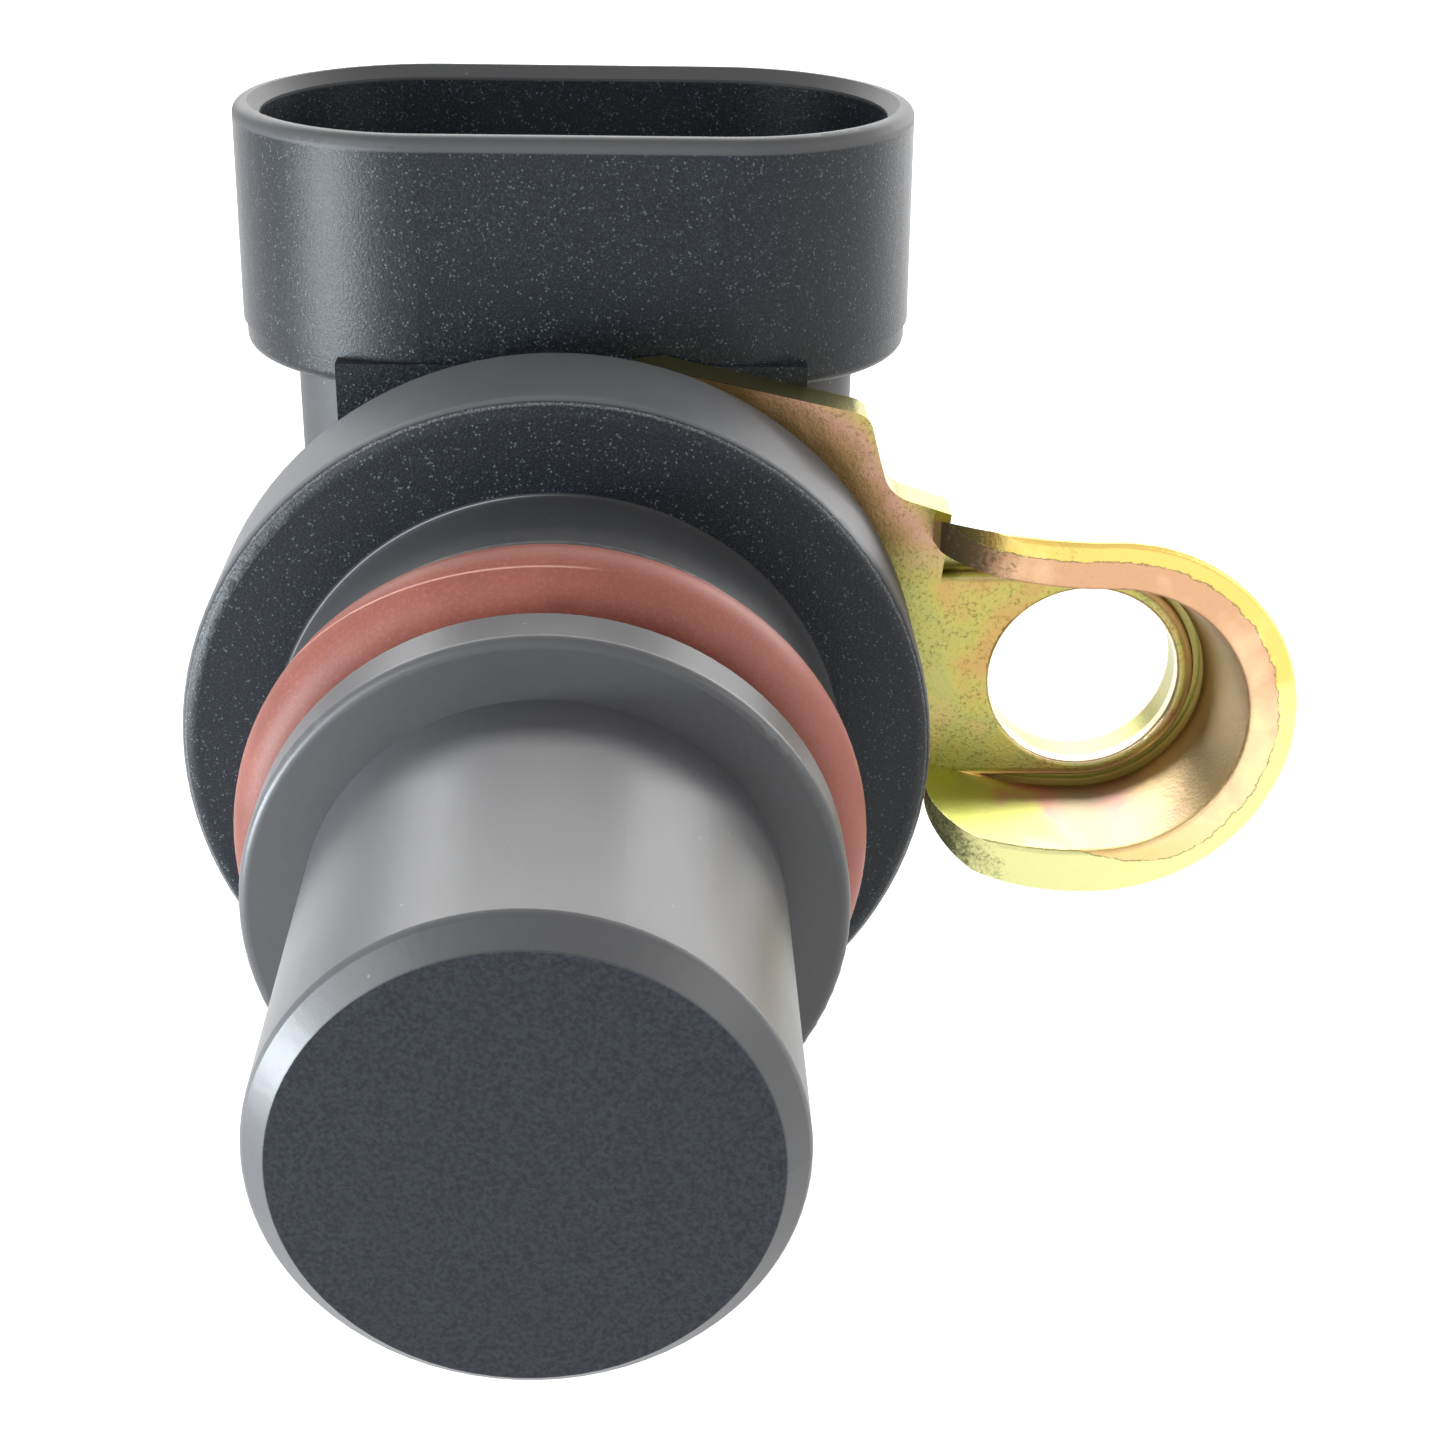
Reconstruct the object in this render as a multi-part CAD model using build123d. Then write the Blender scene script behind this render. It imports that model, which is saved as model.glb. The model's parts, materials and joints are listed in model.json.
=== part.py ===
from build123d import *
import os

# Camshaft position sensor: a moulded probe with a seal ring, a round flange, a pressed
# steel bracket behind the flange and a plug connector on top.
# The origin is where the probe's axis crosses the flange's seating face. The probe points
# along -Y, the connector opens along +Z and the bracket's ear reaches out along +X.
# Everything is in millimetres.

os.makedirs("parts", exist_ok=True)

# Driving dimensions

# Probe
PROBE_LENGTH = 28.3        # seating face to tip
PROBE_R = 8.9
TIP_CHAMFER = 0.85
TIP_ROUND = 0.4
TIP_WALL = 1.3
CAVITY_R = 7.4             # bore of the barrel that the sensing pieces sit in

# Collar, seal groove and neck
COLLAR_R = 11.25
COLLAR_FRONT = 12.95       # distance of the collar's front from the seating face
COLLAR_WIDTH = 2.25
GROOVE_WIDTH = 5.5
GROOVE_R = 8.7
NECK_R = 11.7
SEAL_SECTION_R = 1.8       # the seal ring's cord radius

# Flange
FLANGE_R = 15.65
FLANGE_THICK = 6.3
FLANGE_ROUND = 0.7
STEP_ROUND = 0.4           # outer edges of the collar and the neck

# Bracket
SHEET = 2.1                # steel thickness
RING_WIDTH = 4.7           # steel left round the window
KEY_WIDTH = 4.0            # keys that stop the bracket from turning
KEY_DEPTH = 1.6
WINDOW_INSET = 6.05        # the window's edge lies this far inside the flange's rim
SHOULDER_INSET = 2.6       # upper outer corner of the plate, inside the flange's rim
SHOULDER_Z = 13.0
SHOULDER_RISE = 1.95       # how far the top edge climbs towards the axis
CREST_SHARE = 0.33         # where along the shoulder the climb ends
SHOULDER_ROUND = 1.0
WAIST_INSET = 1.65         # hollow between the shoulder and the ear
WAIST_Z = 9.5
WAIST_ROUND = 1.6
HORN_REACH = 1.1           # sharp point that the shears leave beside the lip
HORN_Z = 8.6
WEB_BOTTOM_Z = -6.4
WEB_ROUND = 2.0
HOLE_REACH = 7.4           # flange's rim to the centre of the bolt hole
EAR_Z = 0.95               # height of the bolt hole's centre
BOLT_HOLE_R = 4.2
LIP_INNER_R = 6.15         # inside of the turned-up lip at its cut edge
LIP_THICK = 2.1
LIP_FRONT = 1.0            # the lip's cut edge stops this short of the seating face
LIP_END_GAP = 0.35         # flange's rim to the ends of the lip
LIP_DRAW_IN = 0.8          # how much narrower the lip is at its foot
LIP_RISE = 0.25            # the cut edge's centre lies this far above the hole's
LIP_SINK = 0.3             # and this far above the foot's
LIP_THINNING = 0.8         # drawing leaves the steel thinner at the foot
LIP_END_ROUND = 3.0        # the ends of the lip run down to the plate in a curve
LEG_START = 0.5            # straight run of each leg of the lip before it bends
TOP_LEG_R = 27.0           # bends of the upper leg's outside and inside, away from the hole
TOP_LEG_IN_R = 19.0
LOW_LEG_R = 10.9           # and of the lower leg's, towards the hole
LOW_LEG_IN_R = 16.3
SHELF_MARGIN = 0.8         # flat steel kept round the hole inside the groove
GROOVE_DEEP = 0.9          # pressed groove at the foot of the lip
LIP_BACK_ROUND = 1.3
CUT_ROUND = 0.2            # worn edges of the pressed steel
SHELF_ROUND = 0.5

# Rear body and connector
SADDLE_HALF = 10.0         # block that backs the bracket
SADDLE_DEPTH = 2.6
BODY_HALF = 12.4
BODY_DEPTH = 13.0
BODY_ROUND = 3.6
CONNECTOR_X = 0.5          # the connector stands a little off the probe's axis
SHROUD_HALF = 15.1         # half the length of the connector mouth
SHROUD_DEPTH = 17.4
SHROUD_BOTTOM = 13.2
SHROUD_TOP = 23.9
SHROUD_WALL = 1.3
SHROUD_DRAFT = 0.8         # degrees
SHROUD_FRONT_STEP = 0.2    # how far the shroud's front stands behind the saddle's
BAND_HEIGHT = 1.25         # plain lower band of the shroud
BAND_INSET = 0.14
SOCKET_FLOOR = 2.2
RIM_ROUND = 0.5
LATCH_WIDTH = 7.0          # ramp on the back that the plug's catch snaps over
LATCH_HEIGHT = 3.0
LATCH_PROUD = 1.2
LATCH_DROP = 4.0           # rim to the top of the ramp

# Terminals
BLADE_WIDTH = 1.5
BLADE_THICK = 0.8
BLADE_PITCH = 4.0
BLADE_BELOW_RIM = 3.6
BLADE_TIP = 0.5            # length of the blade's chamfered tip
BLADE_NOSE = 0.2           # how far the chamfer goes in from each face
PAD_OVERLAP = 2.6          # how far each terminal lies on the board

# Sensing pieces
FIT = 0.1                  # clearance between pieces that slide together
CHIP_WIDTH = 5.2
CHIP_HEIGHT = 4.2
CHIP_THICK = 1.5
MAGNET_R = 3.0
MAGNET_LENGTH = 5.0
POLE_THICK = 1.2
CARRIER_HEAD = 9.0         # length of the carrier's round head
CARRIER_REAR_GAP = 0.3
BOARD_WIDTH = 11.0
BOARD_THICK = 1.0
BOARD_TOP = 0.9            # height of the board's upper face above the axis
BOARD_REAR_GAP = 1.2
LEAD_WIDTH = 0.5
LEAD_THICK = 0.4
LEAD_PITCH = 1.3
LEAD_HEIGHT = 3.4          # height at which the chip's legs run back
LEAD_ON_BOARD = 1.4
CAP_LENGTH, CAP_WIDTH, CAP_HEIGHT = 2.0, 1.25, 0.9
CAP_SPACING = 3.6
RESISTOR_LENGTH, RESISTOR_WIDTH, RESISTOR_HEIGHT = 1.6, 0.8, 0.5

NEAR = 0.01                # edges this close to a place are at that place

# Places that follow from them
TIP_Y = -PROBE_LENGTH
COLLAR_Y = -COLLAR_FRONT
SEAL_Y0 = COLLAR_Y + COLLAR_WIDTH
SEAL_Y1 = SEAL_Y0 + GROOVE_WIDTH
BRACKET_Y0 = FLANGE_THICK
BRACKET_Y1 = FLANGE_THICK + SHEET
BODY_Y0 = BRACKET_Y1 + SADDLE_DEPTH
SHROUD_Y0 = BRACKET_Y1 + SHROUD_FRONT_STEP
SHROUD_Y = SHROUD_Y0 + SHROUD_DEPTH / 2
BAND_TOP = SHROUD_BOTTOM + BAND_HEIGHT
SOCKET_Z0 = SHROUD_BOTTOM + SOCKET_FLOOR
SPIGOT_R = FLANGE_R - WINDOW_INSET
RING_R = SPIGOT_R + RING_WIDTH
SHOULDER_X = FLANGE_R - SHOULDER_INSET
WAIST_X = FLANGE_R - WAIST_INSET
HORN_X = FLANGE_R + HORN_REACH
EAR_X = FLANGE_R + HOLE_REACH
LIP_END_X = FLANGE_R + LIP_END_GAP
EAR_LEFT = FLANGE_R - LIP_THICK
LIP_OUTER_R = LIP_INNER_R + LIP_THICK
LIP_HEIGHT = BRACKET_Y0 - LIP_FRONT
LIP_SPAN = LIP_OUTER_R + HOLE_REACH / 2
CAVITY_Y0 = TIP_Y + TIP_WALL
CAVITY_Y1 = FLANGE_THICK - TIP_WALL
CARRIER_R = CAVITY_R - FIT
CARRIER_Y0 = CAVITY_Y0 + FIT
CARRIER_Y1 = CAVITY_Y1 - CARRIER_REAR_GAP
HEAD_Y1 = CARRIER_Y0 + CARRIER_HEAD
CHIP_Y0 = CAVITY_Y0 + FIT
CHIP_Y1 = CHIP_Y0 + CHIP_THICK
POLE_Y0 = CHIP_Y1 + FIT
POLE_Y1 = POLE_Y0 + POLE_THICK
MAGNET_Y1 = POLE_Y1 + MAGNET_LENGTH
BOARD_Y0 = HEAD_Y1 + FIT
BOARD_Y1 = CARRIER_Y1 - BOARD_REAR_GAP
TERMINAL_Y0 = BOARD_Y1 - PAD_OVERLAP
BLADE_TOP = SHROUD_TOP - BLADE_BELOW_RIM
BLADE_XS = [CONNECTOR_X + k * BLADE_PITCH for k in (-1, 0, 1)]
LEAD_XS = [k * LEAD_PITCH for k in (-1, 0, 1)]
LEAD_END_Y = BOARD_Y0 + LEAD_ON_BOARD
LEAD_MID_Y = (CHIP_Y0 + CHIP_Y1) / 2


def cylinder_y(radius, y0, y1, x=0.0, z=0.0):
    """A round bar along Y from y0 to y1."""
    disc = Plane.XZ.offset(-y0) * Pos(x, z) * Circle(radius)
    return extrude(disc, -(y1 - y0))


def box(x0, x1, y0, y1, z0, z1):
    """A block between two corners."""
    centre = Pos((x0 + x1) / 2, (y0 + y1) / 2, (z0 + z1) / 2)
    return centre * Box(x1 - x0, y1 - y0, z1 - z0)


def round_edges(solid, radius, y, amount):
    """Round the circular edges of this radius about the probe's axis at y."""
    hits = [e for e in solid.edges().filter_by(GeomType.CIRCLE)
            if abs(e.radius - radius) < NEAR and abs(e.arc_center.Y - y) < NEAR]
    return fillet(hits, amount)


def turned_front():
    """Barrel, collar, seal groove, neck and flange as one turned form."""
    outline = Polyline(
        (0, TIP_Y), (PROBE_R - TIP_CHAMFER, TIP_Y), (PROBE_R, TIP_Y + TIP_CHAMFER),
        (PROBE_R, COLLAR_Y), (COLLAR_R, COLLAR_Y), (COLLAR_R, SEAL_Y0),
        (GROOVE_R, SEAL_Y0), (GROOVE_R, SEAL_Y1), (NECK_R, SEAL_Y1), (NECK_R, 0),
        (FLANGE_R, 0), (FLANGE_R, FLANGE_THICK), (0, FLANGE_THICK), close=True)
    body = revolve(make_face(outline), Axis.Y)
    body = round_edges(body, FLANGE_R, 0, FLANGE_ROUND)
    body = round_edges(body, COLLAR_R, COLLAR_Y, STEP_ROUND)
    body = round_edges(body, NECK_R, SEAL_Y1, STEP_ROUND)
    return round_edges(body, PROBE_R, TIP_Y + TIP_CHAMFER, TIP_ROUND)


def window_sketch():
    """The bracket's window: a circle with a key at each side and below."""
    reach = 2 * (SPIGOT_R + KEY_DEPTH)
    across = Rectangle(reach, KEY_WIDTH)
    below = Pos(0, -reach / 4) * Rectangle(KEY_WIDTH, reach / 2)
    return Circle(SPIGOT_R) + across + below


def arch_sketch(half, top):
    """A round-bottomed shape about the axis with straight sides up to top."""
    return Circle(half) + Pos(0, top / 2) * Rectangle(2 * half, top)


def obround(half, depth, inset=0.0):
    """The connector's outline, seen from above, drawn in by inset."""
    return SlotOverall(2 * (half - inset), depth - 2 * inset)


def shroud_block():
    """The connector's outer form, with a plain inset band at its foot."""
    place = Pos(CONNECTOR_X, SHROUD_Y, 0)
    upper = extrude(place * Pos(0, 0, BAND_TOP) * obround(SHROUD_HALF, SHROUD_DEPTH),
                    SHROUD_TOP - BAND_TOP, taper=SHROUD_DRAFT)
    upper = fillet(upper.edges().group_by(Axis.Z)[-1], RIM_ROUND)
    lower = extrude(place * Pos(0, 0, SHROUD_BOTTOM) * obround(SHROUD_HALF, SHROUD_DEPTH, BAND_INSET),
                    BAND_HEIGHT)
    lower = fillet(lower.edges().group_by(Axis.Z)[0], RIM_ROUND)
    return upper + lower


def socket_void():
    """The room inside the connector's mouth, with a rounded mouth edge."""
    depth = SHROUD_TOP - SOCKET_Z0
    place = Pos(CONNECTOR_X, SHROUD_Y, SHROUD_TOP)
    flare = RIM_ROUND
    void = extrude(place * obround(SHROUD_HALF, SHROUD_DEPTH, SHROUD_WALL), -depth,
                   taper=SHROUD_DRAFT)
    mouth = extrude(place * obround(SHROUD_HALF, SHROUD_DEPTH, SHROUD_WALL - flare), -flare,
                    taper=45)
    return void + mouth


def latch_ramp():
    """The wedge on the back of the shroud that holds the plug."""
    back = SHROUD_Y0 + SHROUD_DEPTH
    top = SHROUD_TOP - LATCH_DROP
    root = back - SHROUD_WALL / 2
    side = Plane.YZ * make_face(Polyline(
        (root, top - LATCH_HEIGHT), (back + LATCH_PROUD, top - LATCH_HEIGHT),
        (back, top), (root, top), close=True))
    ramp = extrude(side, LATCH_WIDTH / 2, both=True)
    return Pos(CONNECTOR_X, 0, 0) * ramp


def rear_body():
    """Saddle, round-bottomed body and window spigot behind the flange."""
    spigot = extrude(Plane.XZ.offset(-BRACKET_Y0) * window_sketch(), -SHEET)
    saddle_face = Pos(CONNECTOR_X, 0) * arch_sketch(SADDLE_HALF, BAND_TOP)
    saddle = extrude(Plane.XZ.offset(-BRACKET_Y1) * saddle_face, -(SADDLE_DEPTH + BODY_ROUND))
    body_face = Pos(CONNECTOR_X, 0) * arch_sketch(BODY_HALF, SHROUD_BOTTOM + SOCKET_FLOOR / 2)
    body = extrude(Plane.XZ.offset(-BODY_Y0) * body_face, -BODY_DEPTH)
    ends = body.edges().group_by(Axis.Y)
    rims = [e for e in list(ends[0]) + list(ends[-1])
            if e.center().Z < SHROUD_BOTTOM]
    body = fillet(rims, BODY_ROUND)
    return spigot + saddle + body


def terminal(x):
    """One blade: flat on the board, straight back, then up into the socket."""
    half = BLADE_THICK / 2
    run_z = BOARD_TOP + half
    run = box(x - BLADE_WIDTH / 2, x + BLADE_WIDTH / 2, TERMINAL_Y0, SHROUD_Y + half,
              run_z - half, run_z + half)
    blade = box(x - BLADE_WIDTH / 2, x + BLADE_WIDTH / 2, SHROUD_Y - half, SHROUD_Y + half,
                run_z - half, BLADE_TOP)
    piece = run + blade
    corner = piece.edges().filter_by(Axis.X)
    outer = [e for e in corner if e.center().Y > SHROUD_Y and e.center().Z < run_z]
    piece = fillet(outer, half)
    tips = piece.edges().group_by(Axis.Z)[-1].filter_by(Axis.X)
    return chamfer(tips, BLADE_TIP, BLADE_NOSE)


def housing():
    """The whole black moulding with its bore, socket and terminal passages."""
    solid = turned_front() + rear_body() + shroud_block() + latch_ramp()
    solid -= cylinder_y(CAVITY_R, CAVITY_Y0, CAVITY_Y1)
    solid -= socket_void()
    for x in BLADE_XS:
        solid -= terminal(x)
    return solid


def seal_ring():
    """The rubber ring lying in the groove against the neck."""
    centre = SEAL_Y1 - SEAL_SECTION_R
    ring = Torus(GROOVE_R + SEAL_SECTION_R, SEAL_SECTION_R)
    return Pos(0, centre, 0) * Rot(90, 0, 0) * ring


def u_outline(radius, top_r, low_r, left, centre_z):
    """The ear's outline at this radius from its centre, closed at x = left."""
    start = EAR_X - LEG_START
    run = start - left
    half = run / 2
    top, low = centre_z + radius, centre_z - radius

    def bend(leg_r, along):
        return leg_r - (leg_r ** 2 - along ** 2) ** 0.5

    top_end = (left, top + bend(top_r, run))
    low_end = (left, low + bend(low_r, run))
    return make_face([
        ThreePointArc(top_end, (start - half, top + bend(top_r, half)), (start, top)),
        Line((start, top), (EAR_X, top)),
        ThreePointArc((EAR_X, top), (EAR_X + radius, centre_z), (EAR_X, low)),
        Line((EAR_X, low), (start, low)),
        ThreePointArc((start, low), (start - half, low + bend(low_r, half)), low_end),
        Line(low_end, top_end),
    ])


def ear_outer(y):
    """The outside of the lip in the plane at y."""
    share = (y - LIP_FRONT) / LIP_HEIGHT
    radius = LIP_OUTER_R - share * (LIP_DRAW_IN + LIP_THINNING)
    face = u_outline(radius, TOP_LEG_R, LOW_LEG_R, EAR_LEFT, EAR_Z + LIP_RISE - share * LIP_SINK)
    return Plane.XZ.offset(-y) * face


def ear_inner(y, left):
    """The inside of the lip in the plane at y."""
    share = (y - LIP_FRONT) / LIP_HEIGHT
    radius = LIP_INNER_R - share * LIP_DRAW_IN
    face = u_outline(radius, TOP_LEG_IN_R, LOW_LEG_IN_R, left, EAR_Z + LIP_RISE - share * LIP_SINK)
    return Plane.XZ.offset(-y) * face


def plate_outline():
    """The flat steel round the window, with its shoulder, its web and its horn."""
    crest = (SHOULDER_X * CREST_SHARE, SHOULDER_Z + SHOULDER_RISE)
    web = make_face(Polyline(
        (0, 0), (0, RING_R), crest, (SHOULDER_X, SHOULDER_Z), (WAIST_X, WAIST_Z), (HORN_X, HORN_Z),
        (LIP_END_X, EAR_Z), (LIP_END_X, WEB_BOTTOM_Z),
        (RING_R - WEB_ROUND, WEB_BOTTOM_Z), close=True))
    corner = web.vertices().sort_by_distance((SHOULDER_X, SHOULDER_Z, 0))[0]
    web = fillet(corner, SHOULDER_ROUND)
    hollow = web.vertices().sort_by_distance((WAIST_X, WAIST_Z, 0))[0]
    web = fillet(hollow, WAIST_ROUND)
    return Circle(RING_R) + web


def lipped_ear():
    """The drawn cup round the bolt hole, open towards the flange."""
    ear = loft([ear_outer(LIP_FRONT), ear_outer(BRACKET_Y1)], ruled=True)
    back = [e for e in ear.edges().group_by(Axis.Y)[-1] if e.center().X > EAR_LEFT + NEAR]
    ear = fillet(back, LIP_BACK_ROUND)
    before = EAR_LEFT - LIP_THICK
    ear -= loft([ear_inner(LIP_FRONT, before), ear_inner(BRACKET_Y0, before)], ruled=True)
    ear -= extrude(ear_inner(BRACKET_Y0, LIP_END_X), GROOVE_DEEP, dir=(0, 1, 0))
    ear += hole_shelf()
    return ear - box(before, LIP_END_X, LIP_FRONT, BRACKET_Y0, EAR_Z - LIP_SPAN, EAR_Z + LIP_SPAN)


def lip_end_corner():
    """The corner that comes off both ends of the lip."""
    x, y = LIP_END_X + LIP_END_ROUND, LIP_FRONT + LIP_END_ROUND
    low, high = EAR_Z - LIP_SPAN, EAR_Z + LIP_SPAN
    bar = Plane.XY.offset(low) * Pos(x, y) * Circle(LIP_END_ROUND)
    return box(LIP_END_X, x, LIP_FRONT, y, low, high) - extrude(bar, high - low)


def bracket():
    """The pressed steel plate with its lipped ear."""
    plate = extrude(Plane.XZ.offset(-BRACKET_Y0) * plate_outline(), -SHEET)
    solid = plate + lipped_ear()
    solid -= extrude(Plane.XZ.offset(-BRACKET_Y0) * window_sketch(), -SHEET)
    cut_edge = [e for e in solid.edges().group_by(Axis.Y)[0] if e.center().X > LIP_END_X + NEAR]
    solid = fillet(cut_edge, CUT_ROUND) - lip_end_corner()
    solid -= cylinder_y(BOLT_HOLE_R, LIP_FRONT, BRACKET_Y1 + FIT, EAR_X, EAR_Z)
    return round_edges(solid, BOLT_HOLE_R, BRACKET_Y0, CUT_ROUND)


def hole_shelf():
    """The flat steel round the bolt hole, left standing above the groove."""
    shelf_r = BOLT_HOLE_R + SHELF_MARGIN
    reach = EAR_X - EAR_LEFT
    shelf = Circle(shelf_r) + Pos(-reach / 2, 0) * Rectangle(reach, 2 * shelf_r)
    pad = extrude(Plane.XZ.offset(-BRACKET_Y0) * Pos(EAR_X, EAR_Z) * shelf, GROOVE_DEEP, dir=(0, 1, 0))
    return fillet(pad.edges().group_by(Axis.Y)[0], SHELF_ROUND)


def lead(x):
    """One leg of the chip: up, back over the carrier's head, down to the board."""
    w, t = LEAD_WIDTH / 2, LEAD_THICK / 2
    rise = box(x - w, x + w, LEAD_MID_Y - t, LEAD_MID_Y + t, CHIP_HEIGHT / 2, LEAD_HEIGHT + t)
    back = box(x - w, x + w, LEAD_MID_Y - t, LEAD_END_Y + t, LEAD_HEIGHT - t, LEAD_HEIGHT + t)
    down = box(x - w, x + w, LEAD_END_Y - t, LEAD_END_Y + t, BOARD_TOP, LEAD_HEIGHT + t)
    return rise + back + down


def carrier():
    """The inner moulding: a round head for the magnet and a shelf for the board."""
    head = cylinder_y(CARRIER_R, CARRIER_Y0, HEAD_Y1)
    shelf = cylinder_y(CARRIER_R, HEAD_Y1, CARRIER_Y1)
    seat = BOARD_TOP - BOARD_THICK
    shelf -= box(-CARRIER_R, CARRIER_R, HEAD_Y1, CARRIER_Y1, seat, CARRIER_R)
    solid = head + shelf
    solid -= box(-CHIP_WIDTH / 2 - FIT, CHIP_WIDTH / 2 + FIT, CARRIER_Y0, CHIP_Y1 + FIT,
                 -CHIP_HEIGHT / 2 - FIT, CHIP_HEIGHT / 2 + FIT)
    solid -= cylinder_y(MAGNET_R + FIT, CHIP_Y1, MAGNET_Y1 + FIT)
    for x in LEAD_XS:
        half = LEAD_WIDTH / 2 + FIT
        solid -= box(x - half, x + half, CARRIER_Y0, HEAD_Y1,
                     LEAD_HEIGHT - LEAD_THICK / 2 - FIT, CARRIER_R)
        solid -= box(x - half, x + half, CARRIER_Y0, CHIP_Y1 + FIT, 0, LEAD_HEIGHT)
    return solid


def chip():
    """The sensing chip's package, lying across the tip."""
    block = box(-CHIP_WIDTH / 2, CHIP_WIDTH / 2, CHIP_Y0, CHIP_Y1, -CHIP_HEIGHT / 2, CHIP_HEIGHT / 2)
    return chamfer(block.edges().filter_by(Axis.Y), CHIP_THICK / 4)


def board():
    """The circuit board that lies on the carrier's shelf."""
    return box(-BOARD_WIDTH / 2, BOARD_WIDTH / 2, BOARD_Y0, BOARD_Y1,
               BOARD_TOP - BOARD_THICK, BOARD_TOP)


def component(x, y, length, width, height):
    """A small part soldered flat on the board."""
    return box(x - width / 2, x + width / 2, y - length / 2, y + length / 2,
               BOARD_TOP, BOARD_TOP + height)


def sensing_pieces():
    """Everything inside the barrel except the carrier."""
    mid = (LEAD_END_Y + TERMINAL_Y0) / 2
    pieces = {
        "sensing_chip": chip(),
        "pole_disc": cylinder_y(MAGNET_R, POLE_Y0, POLE_Y1),
        "magnet": cylinder_y(MAGNET_R, POLE_Y1, MAGNET_Y1),
        "circuit_board": board(),
        "supply_capacitor": component(-CAP_SPACING, mid, CAP_LENGTH, CAP_WIDTH, CAP_HEIGHT),
        "output_capacitor": component(CAP_SPACING, mid, CAP_LENGTH, CAP_WIDTH, CAP_HEIGHT),
        "pull_up_resistor": component(0, mid, RESISTOR_LENGTH, RESISTOR_WIDTH, RESISTOR_HEIGHT),
    }
    for name, x in zip(("chip_lead_supply", "chip_lead_signal", "chip_lead_ground"), LEAD_XS):
        pieces[name] = lead(x)
    return pieces


pieces = {
    "housing": housing(),
    "seal_ring": seal_ring(),
    "mounting_bracket": bracket(),
    "carrier": carrier(),
    **sensing_pieces(),
}
for name, x in zip(("terminal_supply", "terminal_signal", "terminal_ground"), BLADE_XS):
    pieces[name] = terminal(x)

for name, shape in pieces.items():
    export_step(shape, f"parts/{name}.step")
    print(name, "volume", round(shape.volume, 1))
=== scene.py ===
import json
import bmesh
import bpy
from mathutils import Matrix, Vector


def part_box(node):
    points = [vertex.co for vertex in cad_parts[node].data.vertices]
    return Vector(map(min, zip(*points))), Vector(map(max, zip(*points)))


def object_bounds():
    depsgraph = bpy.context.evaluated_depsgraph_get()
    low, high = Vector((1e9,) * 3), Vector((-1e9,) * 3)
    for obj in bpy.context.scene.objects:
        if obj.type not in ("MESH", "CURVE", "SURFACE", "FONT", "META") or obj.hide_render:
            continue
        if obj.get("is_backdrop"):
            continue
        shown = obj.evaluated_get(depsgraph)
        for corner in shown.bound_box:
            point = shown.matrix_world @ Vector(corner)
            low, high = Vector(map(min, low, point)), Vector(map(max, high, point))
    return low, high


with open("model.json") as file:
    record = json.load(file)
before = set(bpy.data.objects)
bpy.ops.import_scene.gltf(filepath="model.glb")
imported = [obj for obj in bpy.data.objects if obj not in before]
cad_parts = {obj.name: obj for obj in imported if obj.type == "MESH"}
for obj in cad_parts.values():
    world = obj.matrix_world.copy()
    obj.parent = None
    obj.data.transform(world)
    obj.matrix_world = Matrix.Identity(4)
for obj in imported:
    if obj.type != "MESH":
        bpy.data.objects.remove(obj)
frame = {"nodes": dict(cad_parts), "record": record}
cad_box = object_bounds()

# %% [markdown]
# A camshaft position sensor is a black moulded probe with a rubber seal, held on the
# engine by a yellow zinc plated steel bracket. The solids come from the CAD frame and
# stay as they are. This lesson gives them their finishes, because on such a plain form
# it is the change from smooth to spark eroded plastic, and the colours in the plating,
# that make it look real.

nodes = frame["nodes"]
record = frame["record"]
MM = 0.001
print("pieces in the frame:", ", ".join(sorted(nodes)))

# %% [markdown]
# Every finish below changes at an edge of the real moulding or pressing, so the places
# of those edges are read from the frame once. Millimetres are kinder to read than
# metres, so all of them are in millimetres.

# %% Places read from the frame
def corners(name):
    """Lowest and highest corner of a CAD node, in millimetres."""
    low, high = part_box(name)
    return low / MM, high / MM


mounts = {mount["name"]: mount for mount in record["mounts"]}
housing_low, housing_high = corners("housing")
seal_low, seal_high = corners("seal_ring")
bracket_low, bracket_high = corners("mounting_bracket")
TIP_Y = housing_low.y
FLANGE_R = -housing_low.x
RIM_Z = housing_high.z
SEAL_R = seal_high.x
SEAL_Y = (seal_low.y + seal_high.y) / 2
LIP_Y = bracket_low.y
PLATE_BACK_Y = bracket_high.y
HOLE = Vector(mounts["bolt_hole"]["pos_m"]) / MM
print("tip", round(TIP_Y, 2), "flange", round(FLANGE_R, 2), "rim", round(RIM_Z, 2),
      "seal", round(SEAL_Y, 2), "bolt hole", [round(value, 2) for value in HOLE])

# %% [markdown]
# A box says nothing about steps inside it. The rest of the places are sizes that the
# housing and the bracket were drawn with, and they are named here in millimetres: the
# steps of the probe, the block below the plug socket, and the lip round the bolt hole.

# %% Places known from the drawing
NECK_R = 11.7
COLLAR_Y = -12.95
TIP_DISC_R = 8.05
SADDLE_HALF = 10.0
SADDLE_LOW_Z = 7.0
SADDLE_DEPTH = 2.5
BAND_Z = 13.3
RIM_BAND = 0.62
PLATE_Y = 6.3
LIP_END_X = 16.0
LIP_END_ROUND = 3.0
LIP_INNER_R = 6.15
LIP_THICK = 2.1
LIP_CENTRE_Z = HOLE.z + 0.25
print("lip's cut edge from", LIP_INNER_R, "to", round(LIP_INNER_R + LIP_THICK, 2), "mm radius")

# %% [markdown]
# The camera stands a little to the right of the probe's axis, high enough to look down on
# it. Its place and its turn came from fitting a pinhole camera to edges measured in the
# picture. Fits that let the picture be an off-centre crop put the camera nearer and match
# the flange's lower edge better, so its distance is an estimate. One picture can't settle
# it.

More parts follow.
